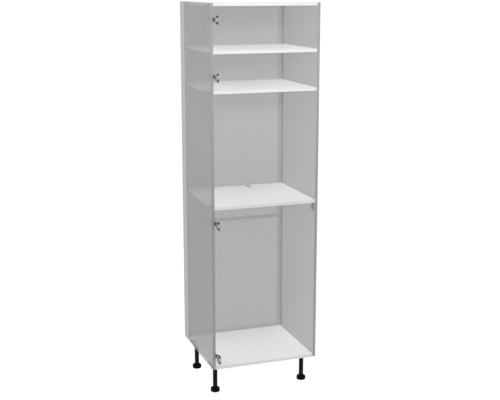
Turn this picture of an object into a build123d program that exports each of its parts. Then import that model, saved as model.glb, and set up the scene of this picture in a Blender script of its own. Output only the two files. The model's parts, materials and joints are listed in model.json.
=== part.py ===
from build123d import *
import os
from math import atan2, cos, degrees, radians, sin

os.makedirs("parts", exist_ok=True)

# Tall kitchen cabinet for a built-in oven, without doors, in millimetres.
# +Z is up, the open front faces -Y, and the origin is on the floor under the carcass's centre.

# Carcass
WIDTH = 600.0
DEPTH = 560.0
CARCASS_HEIGHT = 1946.0
BOARD = 16.0
BAND = 1.0                      # edge band on every front edge
LEG_HEIGHT = 168.0              # floor to the carcass's underside

# Shelves, measured from the carcass's underside
OVEN_SHELF_TOP = 900.0
OVEN_NICHE = 590.0              # clear height between the oven shelf and the shelf over it
LOOSE_SHELF_TOP = 1708.0
LOOSE_SHELF_DEPTH = 465.0
LOOSE_SHELF_PLAY = 0.8          # at each end

# Back panel, in grooves
BACK_SETBACK = 500.0            # front edge to the back panel's front face
BACK_THICK = 8.0
GROOVE_DEPTH = 8.0
GROOVE_PLAY = 0.15
GROOVE_END_GAP = 0.5            # left free at the bottom of each groove
BACK_JOINT_BELOW_OVEN_SHELF = 197.0
STRIP_HEIGHT = 14.0
STRIP_WEB = 2.0
STRIP_FLANGE = 1.2
STRIP_PLAY = 0.1

# Cam fittings and dowels in the four fixed boards
FITTING_FRONT = 52.0            # front edge to the first cam
FITTING_REAR = 430.0            # front edge to the second cam
DOWEL_STEP = 32.0
CAM_FROM_END = 24.0
CAM_R = 7.4
CAM_DEPTH = 12.2
CAM_SLOT_LENGTH = 7.4
CAM_SLOT_WIDE = 1.5
CAM_SLOT_DEPTH = 1.2
BOLT_R = 3.0
BOLT_IN_SIDE = 11.0
DOWEL_R = 4.0
DOWEL_IN_SIDE = 11.0
DOWEL_IN_BOARD = 21.0
DOWEL_CHAMFER = 1.0
BORE_PLAY = 0.1

# Shelf pins and the spare rows of pin holes
PIN_R = 2.5
PIN_IN_SIDE = 9.0
PIN_TONGUE = 11.0               # how far a pin reaches under the shelf
PIN_TONGUE_WIDE = 10.0
PIN_HEAD_THICK = 3.0
PIN_SETBACK = 50.0              # shelf edge to the pin
HOLE_PITCH = 32.0
HOLES_EACH_WAY = 2              # spare holes above and below the one in use

# Angle plates under the oven shelf
PLATE_DEEP = 42.0
PLATE_TALL = 46.0
PLATE_WIDE = 24.0
PLATE_THICK = 2.0
PLATE_SETBACK = 1.0
PLATE_SCREW_R = 2.0
PLATE_SCREW_LENGTH = 12.0
PLATE_SCREW_STEP = 21.0         # between the two screws into the side panel
PLATE_SCREW_DROP = 30.0         # below the oven shelf
PLATE_SCREW_REACH = 15.6        # from the side panel to the screw up into the shelf
PLATE_ROUND = 4.0
SCREW_HEAD_R = 3.6
SCREW_HEAD_THICK = 1.6

# Clip at the oven shelf's rear edge
CLIP_OFFSET = 63.0              # right of the carcass's centre
CLIP_WIDE = 25.0
CLIP_DEEP = 76.0
CLIP_TALL = 21.0
CLIP_THICK = 2.0
CLIP_SCREW_INSET = 14.0
CLIP_SCREW_RISE = 12.6          # rear screw, above the oven shelf
CLIP_REAR_SCREW_LENGTH = 6.0
CLIP_ROUND = 4.0

# Legs
LEG_SIDE_INSET = 27.0           # side panel's inner face to the leg's middle
LEG_FRONT_INSET = 101.0
POST_R = 12.5
POST_BORE_R = 6.0
FOOT_R = 25.5
FOOT_HEIGHT = 24.0
FOOT_TOP_ROUND = 9.0
FOOT_SOLE_ROUND = 4.0
FOOT_GAP = 0.3                  # post's end to the foot at its highest setting
STEM_R = 5.5
STEM_LENGTH = 45.0
SOCKET_R = 19.0
SOCKET_HEIGHT = 34.0
SOCKET_FLANGE = 66.0
SOCKET_FLANGE_THICK = 4.0
SOCKET_FLANGE_ROUND = 11.0
SOCKET_SCREW_SPACING = 48.0
SOCKET_PLAY = 0.1
SOCKET_GRIP = 28.0              # how far the post stands in its socket
LEG_SCREW_LENGTH = 12.0

# Concealed hinges on the left side panel, lowest first
HINGE_ABOVE_BASE = 67.0         # the others are measured from the boards they sit near
HINGE_BELOW_OVEN_SHELF = 77.0   # under the oven shelf's underside
HINGE_ABOVE_NICHE_SHELF = 70.0
HINGE_BELOW_TOP = 83.0
HINGE_OPEN = 90.0               # door angle at rest, measured from closed
CUP_R = 17.5
CUP_DEPTH = 11.5
CUP_WALL = 1.0
CUP_CENTRE = 7.5                # closed: from the side panel's inner face, into the cabinet
DOOR_GAP = 2.0                  # closed: carcass front to the door's inner face
CUP_FLANGE = 1.5
CUP_FLANGE_TALL = 52.0
CUP_FLANGE_WIDE = 21.0
CUP_FLANGE_SHIFT = 7.0
CUP_SCREW_CLEAR = 3.34          # a screw hole's centre, from the pot's outside
CUP_SCREW_SHIFT = 10.5
CUP_SCREW_R = 2.0
SLEEVE_R = 3.2                  # press-in sleeves on the door side of the screw holes
SLEEVE_LENGTH = 8.0
CUP_NOTCH_DEPTH = 5.1           # in the wall on the side panel's side, where the links come out
CUP_NOTCH_HALF_TALL = 7.5
CUP_NOTCH_WIDE = 8.8
POLE = (-4.0, 19.2)             # turning centre between closed and open, into the cabinet and forward
OUTER_PIVOT = (16.0, -1.0)      # on the arm's nose
INNER_PIVOT = (22.0, -7.0)
OUTER_REACH = 11.6              # pole to the outer link's pivot in the cup
INNER_REACH = 14.5
INNER_SHORTFALL = 0.84          # share of the inner link that is made: its cup pivot is left open
LINK_BOW = 5.4
LINK_HALF = 2.3
OUTER_LINK_LAYER = (4.6, 6.2)
INNER_LINK_HALF_TALL = 3.4
OUTER_RIVET_START = 4.0         # the outer pivot is two short rivets, with the inner link between them
HINGE_PIN_R = 1.25
HINGE_PIN_PLAY = 0.06
ARM_HALF_TALL = 8.5
ARM_SHEET = 1.5
ARM_WEB = 14.0                  # outer face of the arm's web, from the side panel
ARM_REAR = 66.0
ARM_WEB_FRONT = 25.0
ARM_CHEEK = 8.0                 # depth of the arm's two cheeks
ARM_NECK = 4.0                  # where the cheeks start to widen towards the nose
ARM_BOSS_R = 3.2                # round each pivot in the nose
MOUNT_HALF_TALL = 6.0
MOUNT_REAR = 64.0
MOUNT_FRONT = 22.0
WING_TALL = 56.0
WING_DEEP = 16.0
WING_THICK = 2.5
WING_SETBACK = 37.0             # standard row of holes behind the front edge
WING_SCREW_SPACING = 32.0
WING_SCREW_R = 2.5
WING_SCREW_LENGTH = 10.5
ARM_SCREW_SETBACK = 52.0        # rear screw of the two
ARM_SCREW_STEP = 20.0
ARM_SCREW_R = 2.0
ARM_SCREW_LENGTH = 9.0

# Places worked out from the sizes above
FRONT = -DEPTH / 2
BASE = LEG_HEIGHT
TOP = BASE + CARCASS_HEIGHT
INNER_HALF = WIDTH / 2 - BOARD
BACK_FACE = FRONT + BACK_SETBACK
NICHE_SHELF_TOP = OVEN_SHELF_TOP + OVEN_NICHE + BOARD
JOINT_Z = BASE + OVEN_SHELF_TOP - BACK_JOINT_BELOW_OVEN_SHELF
BOARD_TOPS = {
    "bottom_panel": BASE + BOARD,
    "oven_shelf": BASE + OVEN_SHELF_TOP,
    "niche_shelf": BASE + NICHE_SHELF_TOP,
    "top_panel": TOP,
}
BOARD_DEPTHS = {
    "bottom_panel": DEPTH,
    "oven_shelf": BACK_SETBACK,
    "niche_shelf": BACK_SETBACK,
    "top_panel": DEPTH,
}
CAM_ROWS = [FRONT + FITTING_FRONT, FRONT + FITTING_REAR]
DOWEL_ROWS = [FRONT + FITTING_FRONT + DOWEL_STEP, FRONT + FITTING_REAR - DOWEL_STEP]
SIDES = {"left": -1, "right": 1}
LOOSE_TOP = BASE + LOOSE_SHELF_TOP
LOOSE_BOTTOM = LOOSE_TOP - BOARD
PIN_ROWS = [FRONT + PIN_SETBACK, FRONT + LOOSE_SHELF_DEPTH - PIN_SETBACK]
PIN_Z = LOOSE_BOTTOM - PIN_HEAD_THICK / 2
LEG_X = INNER_HALF - LEG_SIDE_INSET
LEG_Y = DEPTH / 2 - LEG_FRONT_INSET
LEG_SPOTS = [(-LEG_X, -LEG_Y), (-LEG_X, LEG_Y), (LEG_X, -LEG_Y), (LEG_X, LEG_Y)]
PLATE_Y = FRONT + PLATE_SETBACK + PLATE_DEEP / 2
PLATE_Z = BASE + OVEN_SHELF_TOP - BOARD
PLATE_SCREW_ROWS = [PLATE_Y - PLATE_SCREW_STEP / 2, PLATE_Y + PLATE_SCREW_STEP / 2]
CLIP_Z = BASE + OVEN_SHELF_TOP
CLIP_SCREW_Y = BACK_FACE - CLIP_DEEP + CLIP_SCREW_INSET
CLIP_SCREW_Z = CLIP_Z + CLIP_SCREW_RISE
HINGE_HEIGHTS = [
    HINGE_ABOVE_BASE,
    OVEN_SHELF_TOP - BOARD - HINGE_BELOW_OVEN_SHELF,
    NICHE_SHELF_TOP + HINGE_ABOVE_NICHE_SHELF,
    CARCASS_HEIGHT - HINGE_BELOW_TOP,
]


def save(piece, label):
    """Label a finished piece and write it to its own file."""
    piece.part.label = label
    export_step(piece.part, f"parts/{label}.step")


def turned(point, centre, angle):
    """Turn a flat point about a centre by an angle in degrees."""
    x, y = point[0] - centre[0], point[1] - centre[1]
    c, s = cos(radians(angle)), sin(radians(angle))
    return (centre[0] + c * x - s * y, centre[1] + s * x + c * y)


def bearing(start, end):
    """Direction from one flat point to another, in degrees."""
    return degrees(atan2(end[1] - start[1], end[0] - start[0]))


def box_between(low, high, mode=Mode.ADD):
    """A box between two corners, in the current part."""
    middle = [(a + b) / 2 for a, b in zip(low, high)]
    with Locations(tuple(middle)):
        Box(*[b - a for a, b in zip(low, high)], mode=mode)


# Side panels: grooved for the back, bored for fittings, shelf pins, hinge plates and angle plates
for side_name, side in SIDES.items():
    outer = side * WIDTH / 2
    inner = side * INNER_HALF
    with BuildPart() as side_panel:
        box_between(
            (min(inner, outer), FRONT + BAND, BASE),
            (max(inner, outer), DEPTH / 2, TOP),
        )
        groove_floor = inner + side * GROOVE_DEPTH
        box_between(
            (min(inner, groove_floor), BACK_FACE - GROOVE_PLAY, BASE),
            (max(inner, groove_floor), BACK_FACE + BACK_THICK + GROOVE_PLAY, TOP),
            mode=Mode.SUBTRACT,
        )
        bore_spots = {"bolt": [], "dowel": [], "pin": [], "wing": [], "plate": []}
        for board_top in BOARD_TOPS.values():
            middle_z = board_top - BOARD / 2
            bore_spots["bolt"] += [(y, middle_z) for y in CAM_ROWS]
            bore_spots["dowel"] += [(y, middle_z) for y in DOWEL_ROWS]
        for y in PIN_ROWS:
            for step in range(-HOLES_EACH_WAY, HOLES_EACH_WAY + 1):
                bore_spots["pin"].append((y, PIN_Z + step * HOLE_PITCH))
        bore_spots["plate"] = [(y, PLATE_Z - PLATE_SCREW_DROP) for y in PLATE_SCREW_ROWS]
        if side_name == "left":
            for height in HINGE_HEIGHTS:
                for k in (-0.5, 0.5):
                    wing_z = BASE + height + k * WING_SCREW_SPACING
                    bore_spots["wing"].append((FRONT + WING_SETBACK, wing_z))
        bores = {
            "bolt": (BOLT_R, BOLT_IN_SIDE),
            "dowel": (DOWEL_R, DOWEL_IN_SIDE),
            "pin": (PIN_R, PIN_IN_SIDE),
            "wing": (WING_SCREW_R, WING_SCREW_LENGTH - WING_THICK),
            "plate": (PLATE_SCREW_R, PLATE_SCREW_LENGTH - PLATE_THICK),
        }
        for kind, (radius, deep) in bores.items():
            for y, z in bore_spots[kind]:
                with Locations(Location((inner + side * deep / 2, y, z), (0, 90, 0))):
                    Cylinder(radius + BORE_PLAY, deep + BORE_PLAY, mode=Mode.SUBTRACT)
    save(side_panel, f"side_panel_{side_name}")

# Fixed boards between the sides, bored for dowels, bolts and cams
for board_name, board_top in BOARD_TOPS.items():
    rear = FRONT + BOARD_DEPTHS[board_name]
    cams_up = board_name == "top_panel"
    cam_mouth = board_top if cams_up else board_top - BOARD
    cam_z = cam_mouth + (-1 if cams_up else 1) * CAM_DEPTH / 2
    middle_z = board_top - BOARD / 2
    with BuildPart() as board:
        box_between((-INNER_HALF, FRONT + BAND, board_top - BOARD), (INNER_HALF, rear, board_top))
        if BOARD_DEPTHS[board_name] == DEPTH:
            groove_z = board_top - BOARD if cams_up else board_top - GROOVE_DEPTH
            box_between(
                (-INNER_HALF, BACK_FACE - GROOVE_PLAY, groove_z),
                (INNER_HALF, BACK_FACE + BACK_THICK + GROOVE_PLAY, groove_z + GROOVE_DEPTH),
                mode=Mode.SUBTRACT,
            )
        for side in SIDES.values():
            for y in CAM_ROWS:
                with Locations((side * (INNER_HALF - CAM_FROM_END), y, cam_z)):
                    Cylinder(CAM_R + BORE_PLAY, CAM_DEPTH, mode=Mode.SUBTRACT)
                bolt_x = side * (INNER_HALF - CAM_FROM_END / 2)
                with Locations(Location((bolt_x, y, middle_z), (0, 90, 0))):
                    Cylinder(BOLT_R + BORE_PLAY, CAM_FROM_END, mode=Mode.SUBTRACT)
            for y in DOWEL_ROWS:
                deep = DOWEL_IN_BOARD + BORE_PLAY
                with Locations(Location((side * (INNER_HALF - deep / 2), y, middle_z), (0, 90, 0))):
                    Cylinder(DOWEL_R + BORE_PLAY, deep, mode=Mode.SUBTRACT)
        if board_name == "bottom_panel":
            for x, y in LEG_SPOTS:
                with Locations((x, y, BASE)):
                    with GridLocations(SOCKET_SCREW_SPACING, SOCKET_SCREW_SPACING, 2, 2):
                        deep = LEG_SCREW_LENGTH - SOCKET_FLANGE_THICK + BORE_PLAY
                        Cylinder(PLATE_SCREW_R + BORE_PLAY, 2 * deep, mode=Mode.SUBTRACT)
        if board_name == "oven_shelf":
            clip_deep = PLATE_SCREW_LENGTH - CLIP_THICK
            with Locations((CLIP_OFFSET, CLIP_SCREW_Y, board_top)):
                Cylinder(PLATE_SCREW_R + BORE_PLAY, 2 * clip_deep, mode=Mode.SUBTRACT)
            for side in SIDES.values():
                plate_deep = PLATE_SCREW_LENGTH - PLATE_THICK
                with Locations((side * (INNER_HALF - PLATE_SCREW_REACH), PLATE_Y, board_top - BOARD)):
                    Cylinder(PLATE_SCREW_R + BORE_PLAY, 2 * plate_deep, mode=Mode.SUBTRACT)
    save(board, board_name)

# Loose shelf on its pins
with BuildPart() as adjustable_shelf:
    half = INNER_HALF - LOOSE_SHELF_PLAY
    box_between((-half, FRONT + BAND, LOOSE_BOTTOM), (half, FRONT + LOOSE_SHELF_DEPTH, LOOSE_TOP))
save(adjustable_shelf, "adjustable_shelf")

# Edge bands on the front edges
with BuildPart() as side_edge_bands:
    for side in SIDES.values():
        x_low = min(side * INNER_HALF, side * WIDTH / 2)
        box_between((x_low, FRONT, BASE), (x_low + BOARD, FRONT + BAND, TOP))
save(side_edge_bands, "side_edge_bands")

with BuildPart() as shelf_edge_bands:
    for board_top in BOARD_TOPS.values():
        box_between((-INNER_HALF, FRONT, board_top - BOARD), (INNER_HALF, FRONT + BAND, board_top))
save(shelf_edge_bands, "fixed_board_edge_bands")

with BuildPart() as loose_shelf_edge_band:
    half = INNER_HALF - LOOSE_SHELF_PLAY
    box_between((-half, FRONT, LOOSE_BOTTOM), (half, FRONT + BAND, LOOSE_TOP))
save(loose_shelf_edge_band, "adjustable_shelf_edge_band")

# Back panel in two pieces, joined by a strip of H section
back_half = INNER_HALF + GROOVE_DEPTH - GROOVE_END_GAP
back_low = BASE + BOARD - GROOVE_DEPTH + GROOVE_END_GAP
back_high = TOP - BOARD + GROOVE_DEPTH - GROOVE_END_GAP
back_spans = {
    "back_panel_lower": (back_low, JOINT_Z - STRIP_WEB / 2),
    "back_panel_upper": (JOINT_Z + STRIP_WEB / 2, back_high),
}
for back_name, (low_z, high_z) in back_spans.items():
    with BuildPart() as back_panel:
        box_between((-back_half, BACK_FACE, low_z), (back_half, BACK_FACE + BACK_THICK, high_z))
        if back_name == "back_panel_upper":
            with Locations(Location((CLIP_OFFSET, BACK_FACE, CLIP_SCREW_Z), (90, 0, 0))):
                Cylinder(PLATE_SCREW_R + BORE_PLAY, PLATE_SCREW_LENGTH, mode=Mode.SUBTRACT)
    save(back_panel, back_name)

with BuildPart() as back_joint_strip:
    with BuildSketch(Plane.YZ.offset(-INNER_HALF + GROOVE_PLAY)):
        with Locations((BACK_FACE + BACK_THICK / 2, JOINT_Z)):
            Rectangle(BACK_THICK + 2 * STRIP_PLAY, STRIP_WEB)
        for face_y, way in ((BACK_FACE, -1), (BACK_FACE + BACK_THICK, 1)):
            with Locations((face_y + way * (STRIP_PLAY + STRIP_FLANGE / 2), JOINT_Z)):
                Rectangle(STRIP_FLANGE, STRIP_HEIGHT)
    extrude(amount=2 * (INNER_HALF - GROOVE_PLAY))
save(back_joint_strip, "back_joint_strip")

# Clip that ties the oven shelf's rear edge to the back panel
with BuildPart() as back_clip:
    box_between(
        (CLIP_OFFSET - CLIP_WIDE / 2, BACK_FACE - CLIP_DEEP, CLIP_Z),
        (CLIP_OFFSET + CLIP_WIDE / 2, BACK_FACE, CLIP_Z + CLIP_THICK),
    )
    box_between(
        (CLIP_OFFSET - CLIP_WIDE / 2, BACK_FACE - CLIP_THICK, CLIP_Z),
        (CLIP_OFFSET + CLIP_WIDE / 2, BACK_FACE, CLIP_Z + CLIP_TALL),
    )
    with Locations((CLIP_OFFSET, CLIP_SCREW_Y, CLIP_Z)):
        Cylinder(PLATE_SCREW_R + BORE_PLAY, 3 * CLIP_THICK, mode=Mode.SUBTRACT)
    with Locations(Location((CLIP_OFFSET, BACK_FACE, CLIP_SCREW_Z), (90, 0, 0))):
        Cylinder(PLATE_SCREW_R + BORE_PLAY, 3 * CLIP_THICK, mode=Mode.SUBTRACT)
    front_corners = back_clip.edges().filter_by(Axis.Z).group_by(Axis.Y)[0]
    fillet(front_corners, CLIP_ROUND)
save(back_clip, "back_clip")


def screw_at(spot, way, length, radius=PLATE_SCREW_R, head_r=SCREW_HEAD_R):
    """A screw whose head sits on a face at `spot`, with its shank running along `way` into the work."""
    seat = Plane(origin=spot, z_dir=tuple(-w for w in way))
    with Locations(seat):
        Cylinder(radius, length, align=(Align.CENTER, Align.CENTER, Align.MAX))
        Cylinder(head_r, SCREW_HEAD_THICK, align=(Align.CENTER, Align.CENTER, Align.MIN))


with BuildPart() as back_clip_screws:
    screw_at((CLIP_OFFSET, CLIP_SCREW_Y, CLIP_Z + CLIP_THICK), (0, 0, -1), PLATE_SCREW_LENGTH)
    screw_at((CLIP_OFFSET, BACK_FACE - CLIP_THICK, CLIP_SCREW_Z), (0, 1, 0), CLIP_REAR_SCREW_LENGTH)
save(back_clip_screws, "back_clip_screws")

# Angle plates under the oven shelf's front corners, and their screws
for side_name, side in SIDES.items():
    inner = side * INNER_HALF
    with BuildPart() as angle_plate:
        for reach, drop in ((PLATE_THICK, PLATE_TALL), (PLATE_WIDE, PLATE_THICK)):
            x_ends = sorted((inner, inner - side * reach))
            box_between(
                (x_ends[0], PLATE_Y - PLATE_DEEP / 2, PLATE_Z - drop),
                (x_ends[1], PLATE_Y + PLATE_DEEP / 2, PLATE_Z),
            )
        for y in PLATE_SCREW_ROWS:
            with Locations(Location((inner, y, PLATE_Z - PLATE_SCREW_DROP), (0, 90, 0))):
                Cylinder(PLATE_SCREW_R + BORE_PLAY, 3 * PLATE_THICK, mode=Mode.SUBTRACT)
        with Locations((side * (INNER_HALF - PLATE_SCREW_REACH), PLATE_Y, PLATE_Z)):
            Cylinder(PLATE_SCREW_R + BORE_PLAY, 3 * PLATE_THICK, mode=Mode.SUBTRACT)
        low_corners = angle_plate.edges().filter_by(Axis.X).group_by(Axis.Z)[0]
        fillet(low_corners, PLATE_ROUND)
    save(angle_plate, f"angle_plate_{side_name}")

with BuildPart() as angle_plate_screws:
    for side in SIDES.values():
        for y in PLATE_SCREW_ROWS:
            spot = (side * (INNER_HALF - PLATE_THICK), y, PLATE_Z - PLATE_SCREW_DROP)
            screw_at(spot, (side, 0, 0), PLATE_SCREW_LENGTH)
        spot = (side * (INNER_HALF - PLATE_SCREW_REACH), PLATE_Y, PLATE_Z - PLATE_THICK)
        screw_at(spot, (0, 0, 1), PLATE_SCREW_LENGTH)
save(angle_plate_screws, "angle_plate_screws")

# Cam fittings: housings in the boards, bolts in the sides, dowels across each joint
with BuildPart() as cam_housings:
    for board_name, board_top in BOARD_TOPS.items():
        cams_up = board_name == "top_panel"
        cam_mouth = board_top if cams_up else board_top - BOARD
        cam_z = cam_mouth + (-1 if cams_up else 1) * (CAM_DEPTH - BORE_PLAY) / 2
        for side in SIDES.values():
            for y in CAM_ROWS:
                cam_x = side * (INNER_HALF - CAM_FROM_END)
                with Locations((cam_x, y, cam_z)):
                    Cylinder(CAM_R, CAM_DEPTH - BORE_PLAY)
                with Locations((cam_x, y, cam_mouth)):
                    Box(CAM_SLOT_LENGTH, CAM_SLOT_WIDE, 2 * CAM_SLOT_DEPTH, mode=Mode.SUBTRACT)
                bolt_x = cam_x + side * CAM_R / 2
                with Locations(Location((bolt_x, y, board_top - BOARD / 2), (0, 90, 0))):
                    Cylinder(BOLT_R + BORE_PLAY, CAM_R, mode=Mode.SUBTRACT)
save(cam_housings, "cam_housings")

with BuildPart() as cam_bolts:
    for board_top in BOARD_TOPS.values():
        for side in SIDES.values():
            for y in CAM_ROWS:
                length = CAM_FROM_END + BOLT_IN_SIDE - BORE_PLAY
                middle_x = side * (INNER_HALF + BOLT_IN_SIDE - length / 2)
                with Locations(Location((middle_x, y, board_top - BOARD / 2), (0, 90, 0))):
                    Cylinder(BOLT_R, length)
save(cam_bolts, "cam_bolts")

with BuildPart() as dowels:
    for board_top in BOARD_TOPS.values():
        for side in SIDES.values():
            for y in DOWEL_ROWS:
                length = DOWEL_IN_BOARD + DOWEL_IN_SIDE
                middle_x = side * (INNER_HALF + DOWEL_IN_SIDE - length / 2)
                with Locations(Location((middle_x, y, board_top - BOARD / 2), (0, 90, 0))):
                    Cylinder(DOWEL_R, length)
    chamfer(dowels.edges().filter_by(GeomType.CIRCLE), DOWEL_CHAMFER)
save(dowels, "dowels")

# Shelf pins: a peg in the side panel and a flat tongue under the loose shelf
with BuildPart() as shelf_pins:
    for side in SIDES.values():
        for y in PIN_ROWS:
            with Locations(Location((side * (INNER_HALF + PIN_IN_SIDE / 2), y, PIN_Z), (0, 90, 0))):
                Cylinder(PIN_R, PIN_IN_SIDE)
            with Locations((side * (INNER_HALF - PIN_TONGUE / 2), y, PIN_Z)):
                Box(PIN_TONGUE, PIN_TONGUE_WIDE, PIN_HEAD_THICK)
save(shelf_pins, "shelf_pins")

# Legs: sockets screwed under the bottom, posts in the sockets, and feet that screw out of the posts
SOCKET_BOTTOM = BASE - SOCKET_HEIGHT
POST_TOP = SOCKET_BOTTOM + SOCKET_GRIP
POST_BOTTOM = FOOT_HEIGHT + FOOT_GAP

with BuildPart() as leg_sockets:
    for x, y in LEG_SPOTS:
        with BuildSketch(Plane.XY.offset(BASE - SOCKET_FLANGE_THICK)):
            with Locations((x, y)):
                RectangleRounded(SOCKET_FLANGE, SOCKET_FLANGE, SOCKET_FLANGE_ROUND)
                with GridLocations(SOCKET_SCREW_SPACING, SOCKET_SCREW_SPACING, 2, 2):
                    Circle(PLATE_SCREW_R + BORE_PLAY, mode=Mode.SUBTRACT)
        extrude(amount=SOCKET_FLANGE_THICK)
        with BuildSketch(Plane.XY.offset(SOCKET_BOTTOM)):
            with Locations((x, y)):
                Circle(SOCKET_R)
        extrude(amount=SOCKET_HEIGHT - SOCKET_FLANGE_THICK / 2)
        with BuildSketch(Plane.XY.offset(SOCKET_BOTTOM)):
            with Locations((x, y)):
                Circle(POST_R + SOCKET_PLAY)
        extrude(amount=SOCKET_GRIP, mode=Mode.SUBTRACT)
save(leg_sockets, "leg_sockets")

with BuildPart() as leg_socket_screws:
    for x, y in LEG_SPOTS:
        for dx in (-SOCKET_SCREW_SPACING / 2, SOCKET_SCREW_SPACING / 2):
            for dy in (-SOCKET_SCREW_SPACING / 2, SOCKET_SCREW_SPACING / 2):
                screw_at((x + dx, y + dy, BASE - SOCKET_FLANGE_THICK), (0, 0, 1), LEG_SCREW_LENGTH)
save(leg_socket_screws, "leg_socket_screws")

with BuildPart() as leg_posts:
    for x, y in LEG_SPOTS:
        with BuildSketch(Plane.XY.offset(POST_BOTTOM)):
            with Locations((x, y)):
                Circle(POST_R)
                Circle(POST_BORE_R, mode=Mode.SUBTRACT)
        extrude(amount=POST_TOP - POST_BOTTOM)
save(leg_posts, "leg_posts")

foot_names = ["foot_front_left", "foot_rear_left", "foot_front_right", "foot_rear_right"]
for foot_name, (x, y) in zip(foot_names, LEG_SPOTS):
    with BuildPart() as foot:
        with BuildSketch():
            with Locations((x, y)):
                Circle(FOOT_R)
        extrude(amount=FOOT_HEIGHT)
        rims = foot.edges().filter_by(GeomType.CIRCLE).sort_by(Axis.Z)
        fillet(rims[-1], FOOT_TOP_ROUND)
        fillet(rims[0], FOOT_SOLE_ROUND)
        with BuildSketch(Plane.XY.offset(FOOT_HEIGHT - FOOT_TOP_ROUND)):
            with Locations((x, y)):
                Circle(STEM_R)
        extrude(amount=STEM_LENGTH + FOOT_TOP_ROUND)
    save(foot, foot_name)

# Concealed hinges. Flat points are (into the cabinet from the side panel, forward of the carcass front),
# worked out with the door closed, and each moving piece is then turned to the open rest position.
POLE_TO_OUTER = bearing(POLE, OUTER_PIVOT) - HINGE_OPEN / 2
POLE_TO_INNER = bearing(POLE, INNER_PIVOT) - HINGE_OPEN / 2
OUTER_END = (
    POLE[0] + OUTER_REACH * cos(radians(POLE_TO_OUTER)),
    POLE[1] + OUTER_REACH * sin(radians(POLE_TO_OUTER)),
)
INNER_END = (
    POLE[0] + INNER_REACH * cos(radians(POLE_TO_INNER)),
    POLE[1] + INNER_REACH * sin(radians(POLE_TO_INNER)),
)
OUTER_TURN = bearing(OUTER_PIVOT, turned(OUTER_END, POLE, HINGE_OPEN)) - bearing(OUTER_PIVOT, OUTER_END)
INNER_TURN = bearing(INNER_PIVOT, turned(INNER_END, POLE, HINGE_OPEN)) - bearing(INNER_PIVOT, INNER_END)


def hinge_plane(height, level=0.0):
    """Sketch plane of a hinge: x into the cabinet, y forward, seen from below so that both stay positive."""
    return Plane(
        origin=(-INNER_HALF, FRONT, BASE + height + level), x_dir=(1, 0, 0), z_dir=(0, 0, -1)
    )


def link_outline(start, end, made=1.0):
    """A bowed link between two pivots, rounded at both ends, in the current sketch."""
    along = bearing(start, end)
    length = made * ((end[0] - start[0]) ** 2 + (end[1] - start[1]) ** 2) ** 0.5
    side_way = along - 90
    stop = (start[0] + length * cos(radians(along)), start[1] + length * sin(radians(along)))
    middle = (
        (start[0] + stop[0]) / 2 + LINK_BOW * cos(radians(side_way)),
        (start[1] + stop[1]) / 2 + LINK_BOW * sin(radians(side_way)),
    )
    with BuildLine() as centre_line:
        ThreePointArc(start, middle, stop)
    SlotArc(centre_line.edges()[0], 2 * LINK_HALF)


def turn_about(piece, centre, angle):
    """Turn a finished piece about a hinge's upright line through a flat point, from closed to open."""
    x, y = -INNER_HALF + centre[0], FRONT - centre[1]
    upright = Axis((x, y, 0), (0, 0, 1))
    return piece.rotate(upright, -angle)


def pin_cylinder(spot, height, radius, half_tall, mode=Mode.ADD):
    """An upright round at a hinge's flat point, in the current part."""
    with Locations((-INNER_HALF + spot[0], FRONT - spot[1], BASE + height)):
        Cylinder(radius, 2 * half_tall, mode=mode)


CHEEK_INNER = ARM_HALF_TALL - ARM_SHEET
CHEEK_LOW = ARM_WEB - ARM_CHEEK
MOUNT_TALL = ARM_WEB - ARM_SHEET
ARM_SCREW_ROWS = [FRONT + ARM_SCREW_SETBACK, FRONT + ARM_SCREW_SETBACK - ARM_SCREW_STEP]
PIN_HOLE_R = HINGE_PIN_R + HINGE_PIN_PLAY
CUP_SCREW_RISE = ((CUP_R + CUP_SCREW_CLEAR) ** 2 - CUP_SCREW_SHIFT**2) ** 0.5
CUP_SCREW_SPOTS = [(CUP_SCREW_SHIFT, -CUP_SCREW_RISE), (CUP_SCREW_SHIFT, CUP_SCREW_RISE)]

with BuildPart() as hinge_mounting_plates:
    for height in HINGE_HEIGHTS:
        z = BASE + height
        wing_y = FRONT + WING_SETBACK
        box_between(
            (-INNER_HALF, wing_y - WING_DEEP / 2, z - WING_TALL / 2),
            (-INNER_HALF + WING_THICK, wing_y + WING_DEEP / 2, z + WING_TALL / 2),
        )
        box_between(
            (-INNER_HALF, FRONT + MOUNT_FRONT, z - MOUNT_HALF_TALL),
            (-INNER_HALF + MOUNT_TALL, FRONT + MOUNT_REAR, z + MOUNT_HALF_TALL),
        )
        for k in (-0.5, 0.5):
            with Locations(Location((-INNER_HALF, wing_y, z + k * WING_SCREW_SPACING), (0, 90, 0))):
                Cylinder(WING_SCREW_R + BORE_PLAY, 3 * WING_THICK, mode=Mode.SUBTRACT)
        for y in ARM_SCREW_ROWS:
            with Locations(Location((-INNER_HALF + MOUNT_TALL, y, z), (0, 90, 0))):
                Cylinder(ARM_SCREW_R + BORE_PLAY, 2 * ARM_SCREW_LENGTH, mode=Mode.SUBTRACT)
save(hinge_mounting_plates, "hinge_mounting_plates")

with BuildPart() as hinge_plate_screws:
    for height in HINGE_HEIGHTS:
        for k in (-0.5, 0.5):
            spot = (-INNER_HALF + WING_THICK, FRONT + WING_SETBACK, BASE + height + k * WING_SCREW_SPACING)
            screw_at(spot, (-1, 0, 0), WING_SCREW_LENGTH, WING_SCREW_R)
save(hinge_plate_screws, "hinge_plate_screws")

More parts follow.
